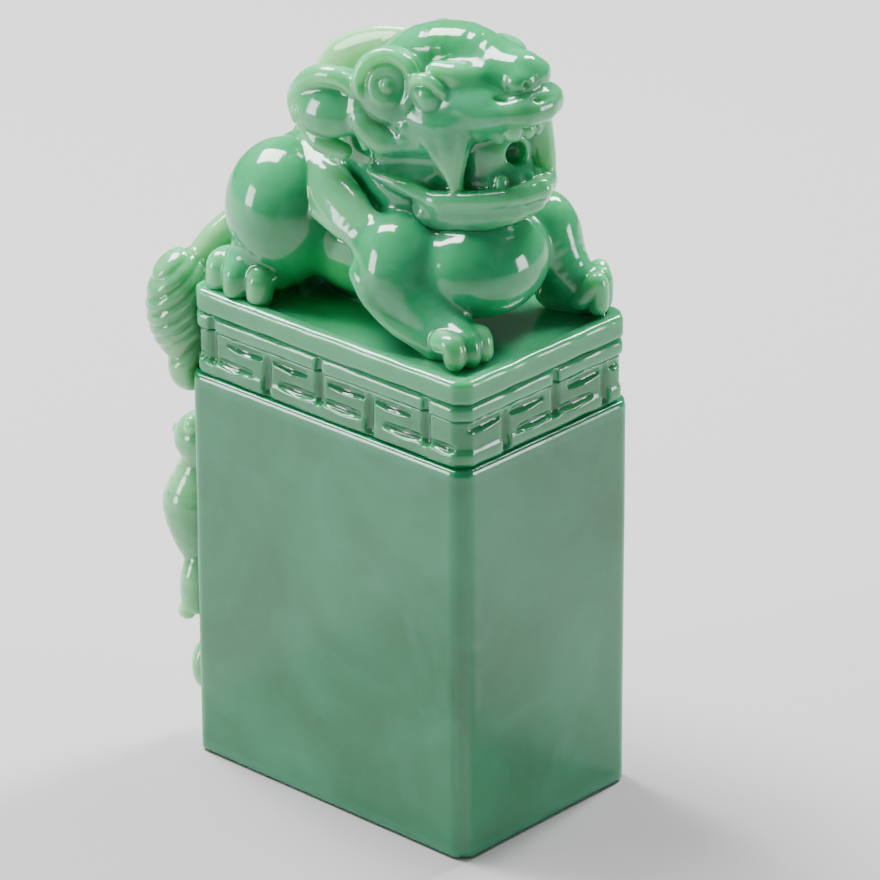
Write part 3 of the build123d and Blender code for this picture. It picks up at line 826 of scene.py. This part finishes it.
def sculpt_lion():
    """The platform, the lion, its tail and the cub, in one stone."""
    low, high = (np.array(corner) / MM for corner in cad_bounds)
    stone = Sculpture((low[0] + 0.1, low[1] + 0.1, 2.6),
                      (high[0] - 0.1, high[1] - 0.1, high[2] - 0.02), VOXEL)
    plate_low, plate_high = box_mm("platform")
    plate = slab(plate_high[0] - SEAM, plate_high[1] - SEAM, plate_low[2] + SEAM, FLOOR, 0.02,
                 WELL_CORNER)
    stone.add("platform", plate, 0.1)
    sculpt_trunk(stone)
    for side in (RIGHT, LEFT):
        sculpt_hindquarters(stone, side)
        sculpt_shoulder_lock(stone, side)
    sculpt_right_foreleg(stone)
    sculpt_left_foreleg(stone)
    sculpt_cranium(stone)
    sculpt_muzzle(stone)
    sculpt_jaw(stone)
    carve_mouth(stone)
    sculpt_teeth(stone)
    sculpt_tail(stone)
    sculpt_cub(stone)
    stone.cut(block_space(), 0.02)
    return stone


# ---- materials ----

def linear(red, green, blue):
    """A colour given as 0-255 screen values, as the linear values that a shader takes."""
    return [((value / 255 + 0.055) / 1.055) ** 2.4 for value in (red, green, blue)] + [1.0]


HEART_GLOW_COLOUR = linear(58, 186, 104)     # the vivid green under the lion's right flank, partly the stone's own green and partly painted glow that lights the shaded stone there
GLOW = 0.9                              # share of the light that goes into the stone
GLOW_RADIUS = (0.55, 1.0, 0.7)          # green light goes furthest
GLOW_DEPTH = 0.0034                     # in metres
JADE_IOR = 1.66
POLISH = (0.055, 0.15)                  # roughness of the best and the least polished spots


def jade(name, deep, main, pale, milk, cloud_size):
    """Polished jade: cloudy colour, with a painted glow that pales it where the stone is thin, painted
    shade in its hollows and a painted glow near the heart under the flank, and a glassy surface.
    """
    material = bpy.data.materials.new(name)
    material.use_nodes = True
    nodes, links = material.node_tree.nodes, material.node_tree.links
    shader = nodes["Principled BSDF"]
    place = nodes.new("ShaderNodeTexCoord")

    def noise(size_mm, detail, warp):
        texture = nodes.new("ShaderNodeTexNoise")
        texture.inputs["Scale"].default_value = 1000 / size_mm
        texture.inputs["Detail"].default_value = detail
        texture.inputs["Distortion"].default_value = warp
        links.new(place.outputs["Object"], texture.inputs["Vector"])
        return texture.outputs["Fac"]

    def ramp(value, low, high):
        stretch = nodes.new("ShaderNodeMapRange")
        stretch.inputs["From Min"].default_value = low
        stretch.inputs["From Max"].default_value = high
        links.new(value, stretch.inputs["Value"])
        return stretch.outputs["Result"]

    def measure(attribute):
        reader = nodes.new("ShaderNodeAttribute")
        reader.attribute_name = attribute
        return reader.outputs["Fac"]

    def multiply(value, factor):
        product = nodes.new("ShaderNodeMath")
        product.operation = "MULTIPLY"
        product.inputs[1].default_value = factor
        links.new(value, product.inputs[0])
        return product.outputs[0]

    def mix(factor, a, b):
        mixer = nodes.new("ShaderNodeMix")
        mixer.data_type = "RGBA"
        links.new(factor, mixer.inputs[0])
        for colour, socket in ((a, mixer.inputs[6]), (b, mixer.inputs[7])):
            if isinstance(colour, list):
                socket.default_value = colour
            else:
                links.new(colour, socket)
        return mixer.outputs[2]

    colour = mix(ramp(noise(cloud_size, 3.0, 0.6), 0.36, 0.66), deep, main)
    colour = mix(multiply(ramp(noise(cloud_size * 0.55, 5.0, 1.2), 0.5, 0.8), 0.32), colour, milk)
    colour = mix(multiply(ramp(noise(0.9, 3.0, 0.0), 0.55, 0.85), 0.10), colour, milk)
    # painted glow: paler where the stone is thin, standing in for light shining through it
    colour = mix(multiply(ramp(measure("thin_glow"), 0.35, 1.0), 0.55), colour, pale)
    # painted shade: darker towards the deep tone where other stone stands near, as in creases and recesses
    colour = mix(multiply(measure("hollow"), 0.12), colour, deep)
    # painted glow: vivid lighter green near the heart under the right flank, partly the stone's own green
    # and partly standing in for light through the stone in the lion's shadow
    colour = mix(measure("heart_glow"), colour, HEART_GLOW_COLOUR)
    links.new(colour, shader.inputs["Base Color"])
    shader.inputs["Subsurface Weight"].default_value = GLOW
    shader.inputs["Subsurface Radius"].default_value = GLOW_RADIUS
    shader.inputs["Subsurface Scale"].default_value = GLOW_DEPTH
    shader.inputs["IOR"].default_value = JADE_IOR
    gloss = nodes.new("ShaderNodeMapRange")
    gloss.inputs["To Min"].default_value = POLISH[0]
    gloss.inputs["To Max"].default_value = POLISH[1]
    links.new(noise(2.2, 4.0, 0.3), gloss.inputs["Value"])
    links.new(gloss.outputs["Result"], shader.inputs["Roughness"])
    skin = nodes.new("ShaderNodeBump")
    skin.inputs["Strength"].default_value = 0.25
    skin.inputs["Distance"].default_value = 0.00006
    links.new(noise(1.4, 2.0, 0.2), skin.inputs["Height"])
    links.new(skin.outputs["Normal"], shader.inputs["Normal"])
    return material


def make_materials():
    return {
        "block_jade": jade("block_jade", deep=linear(12, 110, 66), main=linear(24, 130, 86),
                           pale=linear(70, 162, 128), milk=linear(62, 154, 124), cloud_size=15.0),
        "border_jade": jade("border_jade", deep=linear(22, 116, 66), main=linear(38, 134, 86),
                            pale=linear(78, 168, 120), milk=linear(70, 156, 118), cloud_size=7.0),
        "green_jade": jade("green_jade", deep=linear(30, 142, 84), main=linear(60, 166, 114),
                           pale=linear(122, 200, 144), milk=linear(112, 190, 152), cloud_size=9.0),
        "pale_jade": jade("pale_jade", deep=linear(76, 160, 104), main=linear(118, 186, 134),
                          pale=linear(168, 212, 154), milk=linear(160, 206, 166), cloud_size=6.0),
    }


# ---- pieces ----

THIN_GLOW_DEPTH = 2.0                          # stone counts as thin when it ends within this depth, in mm, and gets a painted glow there
HOLLOW_SHADE_REACH = 0.6                        # and as hollow when other stone is within this reach, in mm, and gets painted shade there
HEART_GLOW_PLACE = (-5.5, 4.5, 2.0)      # middle of the painted glow under the flank, in the body's frame
HEART_GLOW_SIZE = (3.0, 6.5, 4.0)


def measure_stone(piece, stone):
    """Writes on each point how thin the stone is there, how hollow, and how near its heart: masks for the
    painted glow, the painted shade and the painted glow under the flank.
    """
    mesh = piece.data
    count = len(mesh.vertices)
    points = np.empty(3 * count)
    normals = np.empty(3 * count)
    mesh.vertices.foreach_get("co", points)
    mesh.vertices.foreach_get("normal", normals)
    points = points.reshape(-1, 3) / MM
    normals = normals.reshape(-1, 3)
    depth = -stone.sample(points - THIN_GLOW_DEPTH * normals) / THIN_GLOW_DEPTH
    clearance = stone.sample(points + HOLLOW_SHADE_REACH * normals) / HOLLOW_SHADE_REACH
    heart_glow = np.linalg.norm((points - body(*HEART_GLOW_PLACE)) / HEART_GLOW_SIZE, axis=1)
    values = {
        "thin_glow": np.clip(1 - depth, 0, 1),
        "hollow": np.clip(1 - clearance, 0, 1),
        "heart_glow": np.clip(1.25 - heart_glow, 0, 0.85),
    }
    for name, value in values.items():
        layer = mesh.attributes.new(name, "FLOAT", "POINT")
        layer.data.foreach_set("value", value.astype(np.float32))


def both_sides(*words):
    """The names of the CAD nodes that come in a right and a left."""
    return [word + side for word in words for side in ("_right", "_left")]


# What each sculpted piece stands for: its material slot and its CAD nodes.
PIECES = {
    "block": ("block_jade", ["seal_block"]),
    "frets": ("border_jade", ["fret_row_lower", "fret_row_upper"]),
    "bead": ("border_jade", ["upper_bead"]),
    "rim": ("border_jade", ["rim"]),
    "platform": ("border_jade", ["platform"]),
    "body": ("green_jade", ["belly", "rump", "spine_ridge", "chest", "neck", "nape", "right_foreleg",
                            "left_foreleg", "right_fore_paw", "left_fore_paw"]
             + both_sides("haunch", "hind_leg", "hind_paw", "shoulder_lock")),
    "head": ("green_jade", ["skull", "crest", "snout", "upper_lip", "lower_jaw", "tongue", "upper_teeth",
                            "lower_teeth"]
             + both_sides("brow", "eye", "cheek", "mane_curl", "side_mane", "ear", "fang")),
    "fin": ("pale_jade", ["crest_fin"]),
    "tail": ("pale_jade", ["tail", "tail_tuft"]),
    "cub": ("pale_jade", ["cub_head", "cub_back", "cub_foreleg", "cub_hind_paw", "cub_tail"]),
}


def make_pieces(stone, materials):
    """One object for each named part of a sculpture, put in place of its CAD nodes, which are hidden."""
    for name, verts, faces in stone.meshes():
        slot_name, nodes = PIECES[name]
        piece = stone_object(name + "_look", verts, faces, materials[slot_name])
        measure_stone(piece, stone)
        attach(piece, "root")
        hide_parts(*nodes)


# ---- studio ----

CAMERA_TURN = math.radians(-47.3)    # about +Z, from straight in front of the lion
CAMERA_RISE = math.radians(24.6)
CAMERA_ROLL = math.radians(-0.2)
CAMERA_DISTANCE = 0.509
CAMERA_SHIFT = (0.00255, 0.02706)    # to the right and upwards, from the middle of the sealing face
LENS = 247.2
LAMP_AIM = Vector((0, 0, 0.045))
LAMP_DISTANCE = 0.45
VIEW_BACK = Vector((math.sin(CAMERA_TURN) * math.cos(CAMERA_RISE),
                    -math.cos(CAMERA_TURN) * math.cos(CAMERA_RISE), math.sin(CAMERA_RISE)))
VIEW_RIGHT = Vector((math.cos(CAMERA_TURN), math.sin(CAMERA_TURN), 0))
VIEW_UP = VIEW_BACK.cross(VIEW_RIGHT)


def add_camera():
    camera = bpy.data.objects.new("camera", bpy.data.cameras.new("camera"))
    camera.data.lens = LENS
    camera.data.sensor_width = 36.0
    camera.data.clip_start = 0.01
    camera.location = (CAMERA_DISTANCE * VIEW_BACK + CAMERA_SHIFT[0] * VIEW_RIGHT
                       + CAMERA_SHIFT[1] * VIEW_UP)
    facing_view = Matrix((VIEW_RIGHT, VIEW_UP, VIEW_BACK)).transposed()
    camera.rotation_euler = (facing_view @ Matrix.Rotation(CAMERA_ROLL, 3, "Z")).to_euler()
    bpy.context.scene.collection.objects.link(camera)
    bpy.context.scene.camera = camera


def add_softbox(name, right, up, back, width, height, watts):
    """An area light in a direction given as the camera sees it, aimed at the statue."""
    light = bpy.data.lights.new(name, "AREA")
    light.shape = "RECTANGLE"
    light.size = width
    light.size_y = height
    light.energy = watts
    lamp = bpy.data.objects.new(name, light)
    towards = right * VIEW_RIGHT + up * VIEW_UP + back * VIEW_BACK
    lamp.location = LAMP_AIM + LAMP_DISTANCE * towards.normalized()
    lamp.rotation_mode = "QUATERNION"
    lamp.rotation_quaternion = towards.to_track_quat("Z", "Y")
    lamp.visible_camera = False
    bpy.context.scene.collection.objects.link(lamp)


def add_floor():
    mesh = bpy.data.meshes.new("floor")
    reach = 4.0
    mesh.from_pydata([(-reach, -reach, 0), (reach, -reach, 0), (reach, reach, 0), (-reach, reach, 0)], [],
                     [(0, 1, 2, 3)])
    floor = bpy.data.objects.new("floor", mesh)
    bpy.context.scene.collection.objects.link(floor)
    material = bpy.data.materials.new("pale_floor")
    material.use_nodes = True
    shader = material.node_tree.nodes["Principled BSDF"]
    shader.inputs["Base Color"].default_value = (0.42, 0.42, 0.415, 1)
    shader.inputs["Roughness"].default_value = 0.75
    mesh.materials.append(material)


def add_sky():
    world = bpy.data.worlds.new("studio")
    world.use_nodes = True
    background = world.node_tree.nodes["Background"]
    background.inputs["Color"].default_value = (0.9, 0.94, 1.0, 1)
    background.inputs["Strength"].default_value = 0.17
    bpy.context.scene.world = world


materials = make_materials()
for make_stone in (sculpt_block, sculpt_border, sculpt_lion):
    make_pieces(make_stone(), materials)
add_camera()
add_softbox("key", -0.42, 0.88, 0.06, 0.22, 0.30, 7.5)
add_softbox("top_strip", 0.45, 0.88, -0.12, 0.08, 0.26, 3.5)
add_softbox("left_window", -0.92, 0.05, 0.22, 0.12, 0.18, 1.1)
add_softbox("right_window", 0.93, 0.02, 0.15, 0.12, 0.18, 0.9)
add_floor()
add_sky()

bpy.context.view_layer.update()
